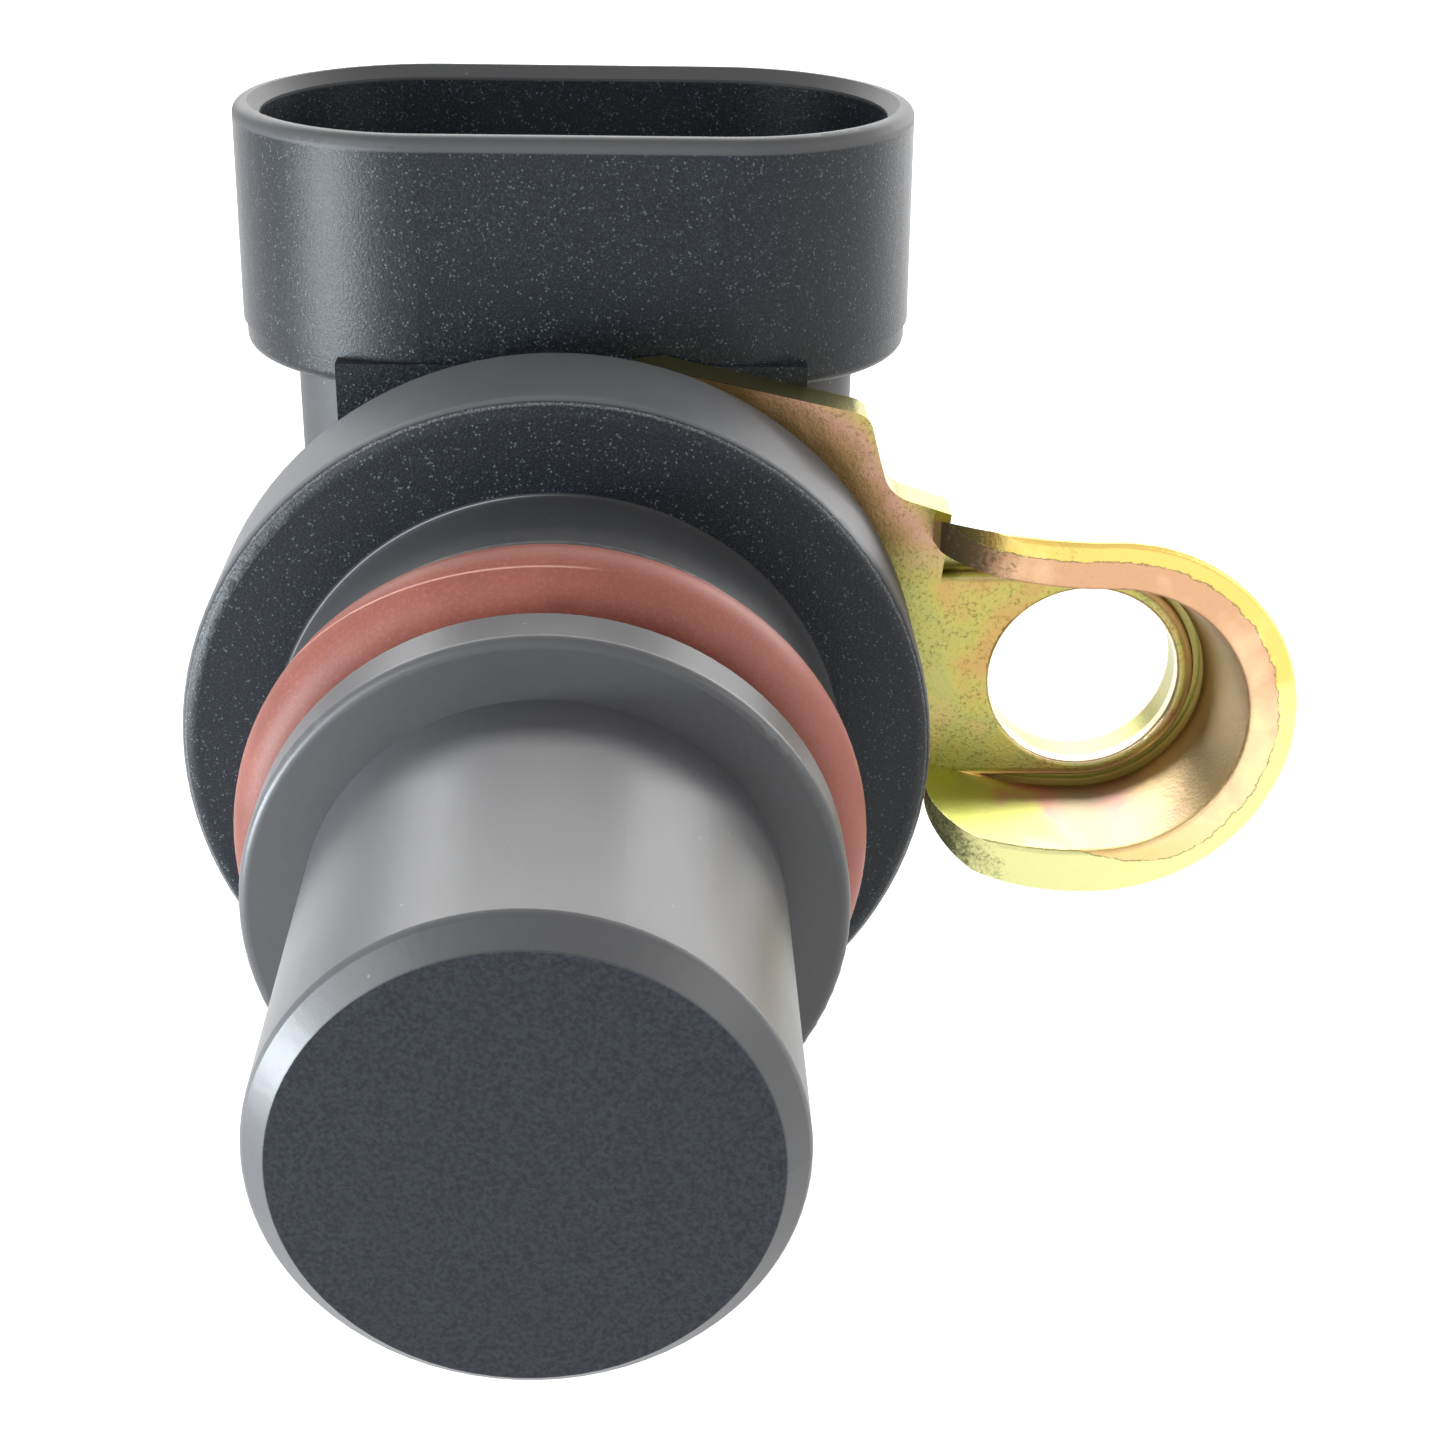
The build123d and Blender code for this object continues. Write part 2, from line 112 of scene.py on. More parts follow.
# %% Camera
CAMERA_PLACE = Vector((3.61, -86.212, 43.606)) * MM
CAMERA_RIGHT = Vector((0.99947, -0.0284, 0.01617))
CAMERA_DOWN = Vector((0.00218, -0.43583, -0.90002))
CAMERA_FORWARD = Vector((0.03261, 0.89958, -0.43554))
LENS = 57.70
FILM_WIDTH = 36
NEAREST_SEEN = 5 * MM

camera_data = bpy.data.cameras.new("camera")
camera_data.lens = LENS
camera_data.sensor_width = FILM_WIDTH
camera_data.clip_start = NEAREST_SEEN
camera = bpy.data.objects.new("camera", camera_data)
turn = Matrix((CAMERA_RIGHT, -CAMERA_DOWN, -CAMERA_FORWARD)).transposed()
camera.matrix_world = Matrix.Translation(CAMERA_PLACE) @ turn.to_4x4()
bpy.context.scene.collection.objects.link(camera)
bpy.context.scene.camera = camera
bpy.context.scene.view_settings.view_transform = "Standard"
print("camera", round(CAMERA_PLACE.length / MM), "mm from the centre of the flange's face")

# %% [markdown]
# Shaders are mostly arithmetic on positions and noise. They could be wired node by node,
# but that hides the thought, so one small class lets a socket take part in Python sums:
# each operator adds its own node. Anything that isn't a sum comes from its `node` method.
# Its soft steps, above, below and between, make the masks that place a finish.

# %% Sockets that can be added and multiplied
class Wire:
    """One output socket of a material's nodes, used as a value in Python."""

    def __init__(self, tree, socket):
        self.tree = tree
        self.socket = socket

    def node(self, kind, settings=None, inputs=None):
        """Add a node: its settings are set first, then its sockets' values or links."""
        made = self.tree.nodes.new(kind)
        for name, value in (settings or {}).items():
            if name == "stops":
                fill_ramp(made.color_ramp, value)
            else:
                setattr(made, name, value)
        for name, value in (inputs or {}).items():
            if isinstance(value, Wire):
                self.tree.links.new(value.socket, made.inputs[name])
            else:
                made.inputs[name].default_value = value
        return Wire(self.tree, made.outputs[0])

    def math(self, operation, first, second=0.0):
        return self.node("ShaderNodeMath", {"operation": operation}, {0: first, 1: second})

    def __add__(self, other):
        return self.math("ADD", self, other)

    def __radd__(self, other):
        return self.math("ADD", other, self)

    def __sub__(self, other):
        return self.math("SUBTRACT", self, other)

    def __rsub__(self, other):
        return self.math("SUBTRACT", other, self)

    def __mul__(self, other):
        return self.math("MULTIPLY", self, other)

    def __rmul__(self, other):
        return self.math("MULTIPLY", other, self)

    def __truediv__(self, other):
        return self.math("DIVIDE", self, other)

    def __pow__(self, other):
        return self.math("POWER", self, other)

    def __abs__(self):
        return self.math("ABSOLUTE", self)

    def least(self, other):
        return self.math("MINIMUM", self, other)

    def most(self, other):
        return self.math("MAXIMUM", self, other)

    def sine(self):
        return self.math("SINE", self)

    def above(self, edge, soft):
        """0 below the edge and 1 above it, over a soft width."""
        return self.node("ShaderNodeMapRange", {"interpolation_type": "SMOOTHSTEP"},
                         {"Value": self, "From Min": edge - soft / 2, "From Max": edge + soft / 2})

    def below(self, edge, soft):
        return 1 - self.above(edge, soft)

    def between(self, low, high, soft):
        return self.above(low, soft) * self.below(high, soft)


def fill_ramp(ramp, stops):
    """Give a colour ramp its stops: pairs of a place and a colour."""
    while len(ramp.elements) < len(stops):
        ramp.elements.new(1.0)
    for element, (place, colour) in zip(ramp.elements, stops):
        element.position = place
        element.color = (*colour, 1)


# %% [markdown]
# Every finish starts in the same way, so a second class opens a material and gives the
# position on the piece in millimetres. Its methods make noise and cells at a size in
# millimetres, mix two colours, measure from an axis, and feed the shader. The pattern
# follows the position and not a flat picture, so it has no seam anywhere.

# %% Finish helpers
class Finish:
    """A material with its Principled shader and the wires that its patterns start from."""

    def __init__(self, name, roughness=0.5, metallic=0.0, specular=0.5):
        self.material = bpy.data.materials.new(name)
        self.material.use_nodes = True
        self.tree = self.material.node_tree
        self.shader = self.tree.nodes["Principled BSDF"]
        self.shader.inputs["Roughness"].default_value = roughness
        self.shader.inputs["Metallic"].default_value = metallic
        self.shader.inputs["Specular IOR Level"].default_value = specular
        coordinates = self.tree.nodes.new("ShaderNodeTexCoord")
        place = Wire(self.tree, coordinates.outputs["Object"])
        self.place = place.node("ShaderNodeVectorMath", {"operation": "SCALE"}, {0: place, "Scale": 1 / MM})
        split = self.tree.nodes.new("ShaderNodeSeparateXYZ")
        self.tree.links.new(self.place.socket, split.inputs[0])
        self.x, self.y, self.z = (Wire(self.tree, output) for output in split.outputs)

    def noise(self, size, detail=2.0, roughness=0.5, distortion=0.0, stretch=(1, 1, 1)):
        """Noise whose blobs are about this many millimetres."""
        place = self.place.node("ShaderNodeMapping", {}, {"Vector": self.place, "Scale": stretch})
        return place.node("ShaderNodeTexNoise", {},
                          {"Vector": place, "Scale": 1 / size, "Detail": detail,
                           "Roughness": roughness, "Distortion": distortion})

    def cells(self, size):
        """Distance to the nearest of points strewn about this many millimetres apart, in cells."""
        return self.place.node("ShaderNodeTexVoronoi", {}, {"Vector": self.place, "Scale": 1 / size})

    def mix(self, factor, first, second):
        """The first colour where factor is 0 and the second where it is 1."""
        made = self.tree.nodes.new("ShaderNodeMix")
        made.data_type = "RGBA"
        sockets = {0: factor, 6: first, 7: second}
        for index, value in sockets.items():
            if isinstance(value, Wire):
                self.tree.links.new(value.socket, made.inputs[index])
            elif index:
                made.inputs[index].default_value = (*value, 1)
            else:
                made.inputs[index].default_value = value
        return Wire(self.tree, made.outputs[2])

    def radius(self):
        """Distance from the probe's axis, in millimetres."""
        return (self.x * self.x + self.z * self.z) ** 0.5

    def feed(self, **wires):
        """Link wires to the shader, with an underscore for each space in a socket's name."""
        for name, wire in wires.items():
            self.tree.links.new(wire.socket, self.shader.inputs[name.replace("_", " ")])

    def layer(self, mask, settings, wires):
        """Show a second shader, with a gloss of its own, where the mask is 1."""
        second = self.tree.nodes.new("ShaderNodeBsdfPrincipled")
        for name, value in settings.items():
            second.inputs[name].default_value = value
        for name, wire in wires.items():
            self.tree.links.new(wire.socket, second.inputs[name])
        both = mask.node("ShaderNodeMixShader", {}, {0: mask})
        self.tree.links.new(self.shader.outputs[0], both.socket.node.inputs[1])
        self.tree.links.new(second.outputs[0], both.socket.node.inputs[2])
        self.tree.links.new(both.socket, self.tree.nodes["Material Output"].inputs["Surface"])

    def bump(self, height, depth):
        """Bump the surface by height, which runs from 0 to 1, times depth in millimetres."""
        return height.node("ShaderNodeBump", {}, {"Height": height, "Distance": depth * MM})


def dress(finish, *names):
    """Give CAD nodes this finish."""
    for name in names:
        if not nodes[name].material_slots:
            nodes[name].data.materials.append(None)
        for slot in nodes[name].material_slots:
            slot.link = "OBJECT"
            slot.material = finish.material


# %% [markdown]
# The housing is one black moulding, but its steel mould had two finishes. The barrel,
# the collar and the rims came from polished steel and reflect in soft, long bands. The
# flange's face, the walls of the plug socket and the block below it came from steel
# roughened by sparks: they are darker, and full of small bright points that are painted
# glints; the flat tip is darker too, in a plainer grain. One shader can't be both,
# because the strength of its reflection is one number all over, so there are two, and a
# mask chooses between them.

# %% Housing: where the mould was spark roughened
black = Finish("moulded_black")
from_axis = black.radius()
flange_face = black.y.between(-0.15, 0.3, 0.1) * from_axis.above(NECK_R + 0.12, 0.1)
socket_walls = (black.z.between(BAND_Z, RIM_Z - RIM_BAND, 0.12)
                * black.y.above(PLATE_BACK_Y - 0.5, 0.1))
saddle = (black.y.between(PLATE_BACK_Y - 0.2, PLATE_BACK_Y + SADDLE_DEPTH, 0.1)
          * abs(black.x).below(SADDLE_HALF, 0.1)
          * black.z.between(SADDLE_LOW_Z, BAND_Z + 0.05, 0.1))
tip_disc = black.y.below(TIP_Y + 0.05, 0.04) * from_axis.below(TIP_DISC_R, 0.12)
sparked = flange_face.most(socket_walls).most(saddle).most(tip_disc)
print("spark roughened: flange face, socket walls, saddle block and tip")

# %% [markdown]
# Where the face of the flange meets its rim, a narrow grainy band round the corner is
# painted pale, as a painted highlight of the rounded corner. A hair-thin pale line, also a
# painted highlight, runs round the upper left of the neck's root, where the steel mould had
# a joint and the light falls. Both cross from one finish to the other, so they are made
# first and used by both shaders.

# %% Housing: painted highlights on the flange's corner and the neck's root
grain = black.noise(0.09, detail=2, roughness=0.8)
PAINTED_BAND_WIDTH = 0.22
painted_corner_band = black.y.between(-0.1, PAINTED_BAND_WIDTH, 0.12) * from_axis.above(FLANGE_R - PAINTED_BAND_WIDTH, 0.18)
# Painted highlight: a grainy pale band along the flange's rounded corner.
painted_edge_highlight = painted_corner_band * (0.25 + 0.75 * grain.above(0.5, 0.2))
root = abs(from_axis - (NECK_R + 0.03)).below(0.02, 0.05) * abs(black.y).below(0.04, 0.04)
# Painted highlight: the line at the neck's root, only on its upper left, where light falls.
painted_root_highlight = root * black.x.below(-1.0, 6.0) * black.z.above(4.0, 4.0)
painted_highlight_lines = painted_edge_highlight.most(painted_root_highlight)
print("worn edge", PAINTED_BAND_WIDTH, "mm wide on each side of the flange's corner")

# %% [markdown]
# Spark pits are about a tenth of a millimetre wide. They could be cut into the mesh, but
# there are tens of thousands of them, so a fine noise makes them as bump. The nearest
# points of a cell pattern make a few facets, as bump and as glints painted pale into the
# colour, and a second, larger noise thins them out, so that they don't look printed.

# %% Housing: spark pits, facets and painted glints
PIT_SIZE = 0.13
PIT_DEPTH = 0.03
pits = black.noise(PIT_SIZE, detail=3, roughness=0.7)
facets_and_painted_glints = black.cells(0.17).below(0.25, 0.2) * black.noise(0.35, detail=2).above(0.52, 0.14)
patches = black.noise(3.0, detail=3)
sparked_colour = black.mix(patches, (0.003, 0.0045, 0.0065), (0.006, 0.008, 0.011))
sparked_colour = black.mix(grain.above(0.57, 0.2) * 0.8, sparked_colour, (0.026, 0.032, 0.040))
# Painted glints: the facets are painted a pale blue-grey, as light caught on them.
sparked_colour = black.mix(facets_and_painted_glints * 0.7, sparked_colour, (0.105, 0.12, 0.14))
tip_grain = black.noise(0.18, detail=3, roughness=0.8).above(0.5, 0.3)
tip_colour = black.mix(tip_grain, (0.002, 0.004, 0.007), (0.024, 0.029, 0.037))
tip_colour = black.mix(patches * 0.4, tip_colour, (0.010, 0.013, 0.018))
sparked_colour = black.mix(tip_disc, sparked_colour, tip_colour)
# The painted highlights of the flange's corner and the neck's root, on the spark roughened finish.
sparked_colour = black.mix(painted_highlight_lines * 0.85, sparked_colour, (0.38, 0.39, 0.40))
sparked_relief = black.bump((pits + facets_and_painted_glints * 0.3) * (0.7 - tip_disc * 0.5), PIT_DEPTH)
print("spark pits", PIT_SIZE, "mm wide and", PIT_DEPTH, "mm deep")

# %% [markdown]
# The polished plastic still isn't even: it has a grey bloom, faint streaks along the
# barrel from the way it left its mould, and fine dust. The barrel and the collar slide in
# a bore, so they are rubbed greyer than the rest. Where the two halves of the mould met
# there is a thin raised line on both sides of the flange and the collar. The rims of the
# flange and the socket, and the body below it, are duller from handling. All of it is
# tone and gloss, and only the streaks, a fine grain and that line lift the surface.

# %% Housing: polished plastic
bloom = black.noise(5.0, detail=4, roughness=0.6)
streaks = black.noise(0.35, detail=2, stretch=(1, 0.03, 1))
dust = black.cells(1.3).below(0.04, 0.03) * black.noise(2.4).above(0.5, 0.1)
parting = (abs(black.z).below(0.035, 0.04) * abs(black.x).above(NECK_R, 1.0)
           * black.y.between(COLLAR_Y, PLATE_BACK_Y, 0.1))
tone = bloom * 0.7 + streaks * 0.3
rubbed_grey = black.y.below(SEAL_Y - 1.0, 1.0)
polished_colour = black.mix(rubbed_grey, black.mix(tone, (0.034, 0.035, 0.037), (0.054, 0.055, 0.057)),
                            black.mix(tone, (0.048, 0.049, 0.052), (0.076, 0.077, 0.080)))
handled = black.y.between(0.4, PLATE_Y, 0.5) * from_axis.above(NECK_R + 1, 0.5)
handled_colour = black.mix(tone, (0.080, 0.082, 0.086), (0.110, 0.113, 0.118))
polished_colour = black.mix(handled, polished_colour, handled_colour)
polished_colour = black.mix(dust.most(parting * 0.6), polished_colour, (0.17, 0.17, 0.165))
# The same painted highlights on the polished finish.
polished_colour = black.mix(painted_highlight_lines * 0.85, polished_colour, (0.38, 0.39, 0.40))
body = black.y.above(PLATE_BACK_Y - 0.5, 0.1) * black.z.below(BAND_Z, 0.3)
socket_rim = black.z.above(RIM_Z - RIM_BAND, 0.1)
gloss = 0.31 + tone * 0.16 + handled.most(socket_rim).most(body) * 0.18 + painted_edge_highlight * 0.15
polished_relief = black.bump(streaks * 0.35 + grain * 0.12 + parting * 0.8, 0.02)
black.feed(Base_Color=polished_colour, Roughness=gloss, Normal=polished_relief)
black.layer(sparked, {"Roughness": 0.37, "Specular IOR Level": 0.28},
            {"Base Color": sparked_colour, "Normal": sparked_relief})
dress(black, "housing")
print("housing dressed in", black.material.name)

# %% [markdown]
# The seal is terracotta coloured silicone rubber. It is matt, with a broad soft sheen and
# a cloudy tone, and its colour is painted lighter towards its right as painted light. It
# has a hair-thin line of flash where its mould closed, which a twist of the ring has
# brought to its front at the top. The line could be a ridge in the mesh, but at this size
# a stripe of colour and bump looks the same.

# %% Seal ring
rubber = Finish("terracotta_rubber", specular=0.35)
cloud = rubber.noise(2.5, detail=3)
powder = rubber.noise(0.15, detail=2, roughness=0.7)
FLASH_Z = 8.6
flash_y = SEAL_Y - 0.2 - (rubber.z - FLASH_Z) * 0.25
flash = (abs(rubber.y - flash_y).below(0.035, 0.05) * rubber.z.above(7.0, 3.0)
         * rubber.x.below(1.5, 2.0) * (0.5 + rubber.noise(1.2)))
SIDE_LIGHT_WIDTH = 36
# Painted light: the clay grows lighter towards the right, over a cloudy tone.
cloud_and_painted_side_light = (cloud * 0.6 + rubber.x / SIDE_LIGHT_WIDTH + 0.2).most(0).least(1)
clay = rubber.mix(cloud_and_painted_side_light, (0.135, 0.034, 0.022), (0.33, 0.105, 0.078))
clay = rubber.mix(powder.above(0.6, 0.3) * 0.15, clay, (0.50, 0.22, 0.17))
clay = rubber.mix(flash, clay, (0.55, 0.27, 0.21))
rubber_relief = rubber.bump(powder * 0.25 + flash, 0.03)
rubber.feed(Base_Color=clay, Roughness=0.46 + powder * 0.12, Normal=rubber_relief)
dress(rubber, "seal_ring")
print("seal line on a ring of", round(SEAL_R, 2), "mm radius")

# %% [markdown]
# The bracket is pressed steel, plated with zinc and dipped in yellow chromate. The film's
# thickness decides its colour, so one sheet runs from brown and pink beside the flange,
# where the dip dried last, through gold to a yellow green. Beside the flange the brown is
# also darkened as painted shade from the flange. A picture could hold these colours, but
# noise through a colour ramp goes round the bends without a seam. All of them are tints
# of a metal, and the sheet's cut sides are duller.

# %% Bracket: colours of the plating
zinc = Finish("yellow_zinc", metallic=1)
film = zinc.noise(4.5, detail=3, roughness=0.55, distortion=0.6)
sand = zinc.noise(0.16, detail=3, roughness=0.75)
from_rim = zinc.radius() - FLANGE_R
DRYING_WIDTH = 6.0
drying = (from_rim + film * 4.0) / DRYING_WIDTH
# Film colour and painted shade: the brown and pink darken towards the flange's rim.
late_film_and_painted_shade = drying.below(0.74, 0.1) * zinc.z.above(6.5, 3.5) * zinc.y.below(PLATE_Y + 0.12, 0.1)
plating = film.node("ShaderNodeValToRGB", {"stops": [
    (0.32, (0.48, 0.31, 0.11)), (0.42, (0.44, 0.38, 0.105)), (0.52, (0.38, 0.37, 0.12)),
    (0.62, (0.46, 0.36, 0.13)), (0.74, (0.44, 0.27, 0.16))]}, {"Fac": film})
late_film_and_shade_colour = drying.node("ShaderNodeValToRGB", {"stops": [
    (0.34, (0.19, 0.115, 0.045)), (0.48, (0.33, 0.195, 0.095)), (0.60, (0.45, 0.26, 0.18)),
    (0.72, (0.46, 0.34, 0.13))]}, {"Fac": drying})
plating = zinc.mix(late_film_and_painted_shade, plating, late_film_and_shade_colour)
specks = (sand.above(0.58, 0.12) * zinc.noise(1.6, detail=2).above(0.42, 0.2)).most(
    zinc.cells(0.8).below(0.07, 0.05) * 0.7)
plating = zinc.mix(specks * 0.6, plating, (0.14, 0.12, 0.035))
side = zinc.y.between(PLATE_Y + 0.1, PLATE_BACK_Y - 0.1, 0.12)
plating = zinc.mix(side * 0.8, plating, zinc.mix(sand, (0.17, 0.17, 0.05), (0.48, 0.44, 0.17)))
print("sheet's sides between y", round(PLATE_Y, 2), "and", round(PLATE_BACK_Y, 2), "mm are duller")

# %% [markdown]
# Inside the lip the steel was drawn, which polished it, and the film is thinner there:
# olive towards the flange, then pink, then a pale brown towards the far side. The pink and
# pale bands are partly painted highlights and reflections of the inner wall. The groove
# beside the bolt hole's shelf is painted pale cream, a painted highlight of the shelf's
# edge. These colours could be painted on as a picture, but they follow the distance
# across the ear, so a ramp gives them.

# %% Bracket: inside of the lip, with painted highlights
across = zinc.x - HOLE.x
up = zinc.z - LIP_CENTRE_Z
# Painted highlight: where the groove beside the shelf is painted pale cream.
painted_groove_highlight = zinc.y.between(PLATE_Y + 0.03, PLATE_Y + 0.7, 0.06) * zinc.x.above(LIP_END_X + 1, 1)
drawn = zinc.y.between(LIP_Y + 0.25, PLATE_Y - 0.08, 0.12).most(painted_groove_highlight)
EAR_WIDTH = 16
drawn_film = (across + film * 12 - 6) / EAR_WIDTH + 0.5
# Film colours with painted highlights: the pink and pale bands stand in for light on the inner wall.
inside = drawn_film.node("ShaderNodeValToRGB", {"stops": [
    (0.12, (0.36, 0.37, 0.08)), (0.26, (0.36, 0.35, 0.10)), (0.35, (0.42, 0.21, 0.17)),
    (0.48, (0.31, 0.26, 0.16)), (0.60, (0.36, 0.22, 0.18)), (0.78, (0.44, 0.32, 0.17))]},
    {"Fac": drawn_film})
inside = zinc.mix(painted_groove_highlight * 0.85, inside, (0.92, 0.76, 0.50))
colour = zinc.mix(drawn, plating, inside)
print("inside of the lip: olive to brown over", EAR_WIDTH, "mm")

# %% [markdown]
# The lip's edge was cut, not drawn. A press shears a sheet for part of its thickness,
# which leaves it bright, and then tears the rest, which leaves it duller, with a ragged
# line between the two. The line could be a ring round the hole, but the lip opens: its
# upper leg leans out and its lower leg leans in. So the distance from the hole is put
# right by the lean, which grows with the square of the way along the leg.

# %% Bracket: the cut edge
LEGS_START = -0.5
UPPER_LEAN = 1 / 46
LOWER_LEAN = 1 / 27
TORN_SHARE = 0.58
sheared_from = LIP_INNER_R + LIP_THICK * TORN_SHARE
beyond = across.most(0)
along = (LEGS_START - across).most(0)
lean = along * along * (up.above(0, 0.2) * (UPPER_LEAN + LOWER_LEAN) - LOWER_LEAN)
across_edge = (beyond * beyond + up * up) ** 0.5 - lean
ragged = zinc.noise(0.55, detail=4, roughness=0.7) - 0.5
low_left = up.below(-1.0, 5.0) * across.below(1.5, 6.0)
line_r = sheared_from - low_left * 1.3 + ragged * 0.45
torn = across_edge.below(line_r, 0.05)
print("cut edge: sheared outside", round(sheared_from, 2), "mm and torn inside it")

# %% [markdown]
# The film changes on the cut as well, from a pale green at the foot of the ear through
# yellow to orange at its top, and to a pinker brown on the torn part. Two ramps over one
# measure keep them in step. At its ends the lip comes round a bend, and there the cut is
# darkened in mottled patches. The bend is known from its circle, so the cut is found there too.

# %% Bracket: colours of the cut edge
LIP_HEIGHT = 16
edge_film = (up / LIP_HEIGHT + across / 40 + 0.5 + (film - 0.5) * 0.9
             + (zinc.noise(1.1, detail=3) - 0.5) * 0.5)
sheared_colour = edge_film.node("ShaderNodeValToRGB", {"stops": [
    (0.10, (0.67, 0.67, 0.30)), (0.35, (0.73, 0.74, 0.29)), (0.60, (0.88, 0.74, 0.28)),
    (0.90, (0.80, 0.56, 0.15))]}, {"Fac": edge_film})
torn_colour = edge_film.node("ShaderNodeValToRGB", {"stops": [
    (0.10, (0.80, 0.56, 0.24)), (0.45, (0.86, 0.66, 0.36)), (0.70, (0.74, 0.48, 0.29)),
    (0.95, (0.60, 0.35, 0.20))]}, {"Fac": edge_film})
ramp_x = zinc.x - (LIP_END_X + LIP_END_ROUND)
ramp_y = zinc.y - (LIP_Y + LIP_END_ROUND)
ramp_off = abs((ramp_x * ramp_x + ramp_y * ramp_y) ** 0.5 - LIP_END_ROUND).below(0.07, 0.05)
ends = ramp_off * ramp_x.below(0, 0.1) * ramp_y.below(0, 0.1)
cut = zinc.y.below(LIP_Y + 0.2, 0.06).most(ends)
edge_colour = zinc.mix(torn, sheared_colour, torn_colour)
tear = abs(across_edge - line_r).below(0.035, 0.04) * zinc.noise(0.5, detail=2).above(0.42, 0.2)
# The cut darkens in mottled patches towards the lip's ends.
dark_end_patches = ((0.5 - ramp_x / 5 + (sand - 0.5) * 1.6 + (film - 0.5) * 2.5) * cut).above(0.85, 0.7)
edge_colour = zinc.mix(tear * 0.6, edge_colour, (0.10, 0.12, 0.05))
edge_colour = zinc.mix(dark_end_patches * 0.8, edge_colour, (0.055, 0.065, 0.030))
colour = zinc.mix(cut, colour, edge_colour)
zinc_relief = zinc.bump(sand * (0.5 + cut * 0.3) + torn * cut * 0.8 + film * 0.5, 0.03)
zinc_gloss = 0.24 + sand * 0.12 + torn * cut * 0.12 + dark_end_patches * 0.2
zinc.feed(Base_Color=colour, Roughness=zinc_gloss, Normal=zinc_relief)
dress(zinc, "mounting_bracket")
print("bracket dressed in", zinc.material.name)

# %% [markdown]
# The terminals and the chip's legs are brass and copper with a thin coat of tin. The coat
# shows the rolling lines of the strip, and a plug has rubbed the blades' tips, so that
# the brass shows through there. Stretched noise gives the lines, because they all run
# one way.

# %% Terminals and legs
tin = Finish("tinned_strip", metallic=1)
rolled = tin.noise(0.12, detail=2, stretch=(1, 1, 0.05))
tarnish = tin.noise(1.8, detail=3)
PLUG_REACH_Z = 17.0
rubbed = tin.z.above(PLUG_REACH_Z, 2.0)
tin_colour = tin.mix(tarnish, (0.62, 0.60, 0.54), (0.76, 0.74, 0.70))
tin_colour = tin.mix(rubbed * rolled.above(0.5, 0.2) * 0.5, tin_colour, (0.82, 0.74, 0.55))
tin.feed(Base_Color=tin_colour, Roughness=0.2 + tarnish * 0.18, Normal=tin.bump(rolled, 0.006))
tinned_names = [name for name in nodes if name.startswith(("terminal", "chip_lead"))]
dress(tin, *tinned_names)
print("tinned pieces:", len(tinned_names))

# %% [markdown]
# Nobody sees the inside until the sensor is cut open, but a learner may do just that, so
# each inner piece has its own stuff too: a glass filled carrier, an epoxy chip, a plated
# magnet with its pole disc, and the three small parts soldered on the board. Each could
# have a script of its own, but they are all plain stuffs with a fleck, so one function
# with the fleck's size and two tints makes them.

# %% Inner pieces
def flecked(name, size, dark, light, roughness, metallic=0.0, depth=0.01, stretch=(1, 1, 1)):
    """A plain stuff with a fleck of this size between two tints."""
    finish = Finish(name, metallic=metallic)
    fleck = finish.noise(size, detail=3, roughness=0.6, stretch=stretch)
    finish.feed(Base_Color=finish.mix(fleck, dark, light), Roughness=roughness - 0.06 + fleck * 0.12,
                Normal=finish.bump(fleck, depth))
    return finish


dress(flecked("glass_filled_carrier", 0.5, (0.020, 0.020, 0.021), (0.045, 0.044, 0.042), 0.5,
              stretch=(1, 0.2, 1)), "carrier")
dress(flecked("epoxy_chip", 0.08, (0.012, 0.012, 0.012), (0.030, 0.030, 0.030), 0.6), "sensing_chip")
dress(flecked("nickel_magnet", 1.2, (0.50, 0.47, 0.42), (0.66, 0.63, 0.58), 0.22, metallic=1.0), "magnet")
dress(flecked("ground_pole_disc", 0.2, (0.40, 0.40, 0.41), (0.56, 0.56, 0.57), 0.34, metallic=1.0),
      "pole_disc")
dress(flecked("ceramic_capacitor", 0.15, (0.28, 0.17, 0.09), (0.38, 0.25, 0.15), 0.45),
      "supply_capacitor", "output_capacitor")
dress(flecked("resistor_glaze", 0.2, (0.010, 0.010, 0.012), (0.022, 0.022, 0.026), 0.3),
      "pull_up_resistor")
print("inner pieces: carrier, chip, magnet, pole disc, capacitors and resistor")

# %% [markdown]
# The circuit board is glass cloth under green lacquer, and the weave shows through it.
# Two sine waves that cross make the weave, because noise alone would look like felt.

# %% Circuit board
WEAVE_TURN = 9.0
board = Finish("woven_board")
weave = (board.x * WEAVE_TURN).sine() * (board.y * WEAVE_TURN).sine() * 0.5 + 0.5
lacquer = board.mix(weave * 0.5 + board.noise(2.0) * 0.5, (0.012, 0.075, 0.028), (0.028, 0.13, 0.05))
board.feed(Base_Color=lacquer, Roughness=0.32 + weave * 0.12, Normal=board.bump(weave, 0.02))
dress(board, "circuit_board")
print("board's weave turns", WEAVE_TURN, "radians a millimetre")

# %% [markdown]
# Such sensors are photographed on white, between soft boxes. The floor is plain paper at
# the lowest point of the sensor. More light would make it white too, but it would bleach
# the sensor. So a little glow is added to it, for the camera and for reflections only,
# and it still takes the sensor's shadow.

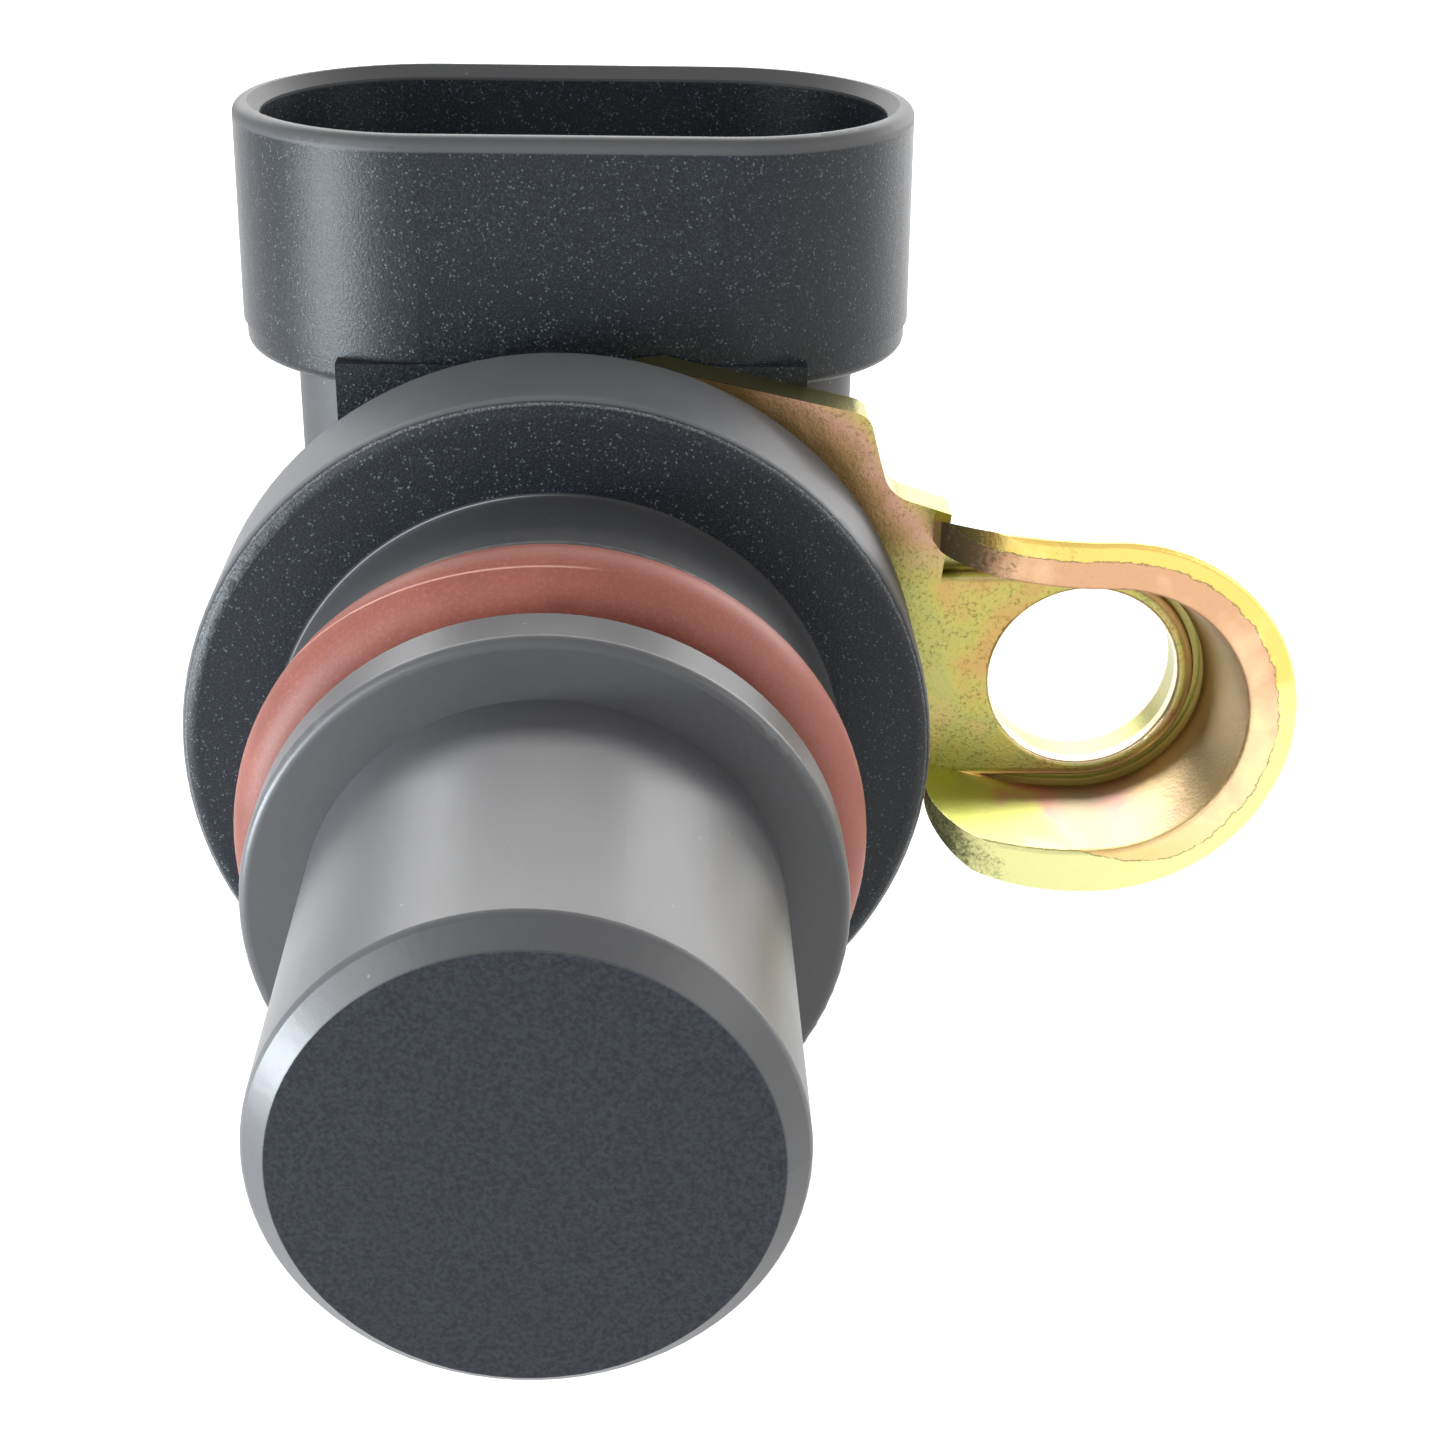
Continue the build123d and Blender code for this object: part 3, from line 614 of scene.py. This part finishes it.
# %% Floor
FLOOR_REACH = 1500 * MM
FLOOR_GLOW = 0.55
floor_mesh = bmesh.new()
bmesh.ops.create_grid(floor_mesh, x_segments=1, y_segments=1, size=FLOOR_REACH)
bmesh.ops.translate(floor_mesh, verts=floor_mesh.verts, vec=(0, 0, cad_box[0].z))
floor_data = bpy.data.meshes.new("floor")
floor_mesh.to_mesh(floor_data)
floor_mesh.free()
floor = bpy.data.objects.new("floor", floor_data)
bpy.context.scene.collection.objects.link(floor)
floor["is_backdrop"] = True


def seen_or_reflected(tree):
    """1 for rays from the camera and rays in a reflection or through glass, else 0."""
    path = tree.nodes.new("ShaderNodeLightPath")
    seen, mirrored, through = (Wire(tree, path.outputs[name]) for name in
                               ("Is Camera Ray", "Is Glossy Ray", "Is Transmission Ray"))
    return seen.most(mirrored).most(through)


paper = Finish("paper_floor", roughness=0.9, specular=0.0)
fibres = paper.noise(0.6, detail=3)
glow = paper.mix(seen_or_reflected(paper.tree), (0, 0, 0), (1, 1, 1))
paper.feed(Base_Color=paper.mix(fibres, (0.76, 0.76, 0.76), (0.80, 0.80, 0.80)), Emission_Color=glow)
paper.shader.inputs["Emission Strength"].default_value = FLOOR_GLOW
floor_data.materials.append(paper.material)
print("floor at", round(cad_box[0].z / MM, 2), "mm")

# %% [markdown]
# Four soft boxes, a card and a white room light the sensor. The card stands on the table
# at the left, and it shows as the pale band on the plug socket. One box is in front on
# the left, one behind the sensor grazes the barrel and the rims, and a lower one behind
# it on the right does so for that side, which a weak box in front fills. The room is
# dimmer for the light it gives than for the white it shows, so that no box is washed out.

# %% Lamps and world
AMBIENT = 0.6


def lamp(name, place, aim, size, power):
    """A soft box of this width and height at place, aimed at a point. Millimetres and watts."""
    light = bpy.data.lights.new(name, "AREA")
    light.shape = "RECTANGLE"
    light.size, light.size_y = size[0] * MM, size[1] * MM
    light.energy = power
    made = bpy.data.objects.new(name, light)
    direction = (Vector(aim) - Vector(place)).to_track_quat("-Z", "Y")
    made.matrix_world = Matrix.Translation(Vector(place) * MM) @ direction.to_matrix().to_4x4()
    made.visible_camera = False
    bpy.context.scene.collection.objects.link(made)
    return made


card = lamp("table_card", (-100, -46, -2.5), (-18, 12, 14), (50, 24), 0.16)
card.data.color = (0.84, 0.92, 1.0)
lamp("left_box", (-220, -170, 80), (0, 0, 0), (160, 200), 0.5)
lamp("back_box", (0, 300, 190), (0, 0, 0), (520, 200), 1.7)
lamp("right_box", (240, 190, 70), (0, 0, 0), (200, 140), 0.5)
lamp("right_fill", (230, -100, 110), (0, 0, 0), (160, 160), 0.22)

world = bpy.data.worlds.new("studio")
bpy.context.scene.world = world
world.use_nodes = True
air = world.node_tree.nodes["Background"]
air.inputs["Color"].default_value = (1, 1, 1, 1)
ambient = seen_or_reflected(world.node_tree) * (1 - AMBIENT) + AMBIENT
world.node_tree.links.new(ambient.socket, air.inputs["Strength"])
print("lamps:", ", ".join(light.name for light in bpy.data.lights))

# %% [markdown]
# The dressed sensor has to keep the size of the CAD model, so how far its box departs
# from the CAD box is printed.

# %% Sizes before and after
shown_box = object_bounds()
apart = max((Vector(shown) - Vector(cad)).length for shown, cad in zip(shown_box, cad_box))
print("visual box departs from the CAD box by", round(apart / MM, 3), "mm")
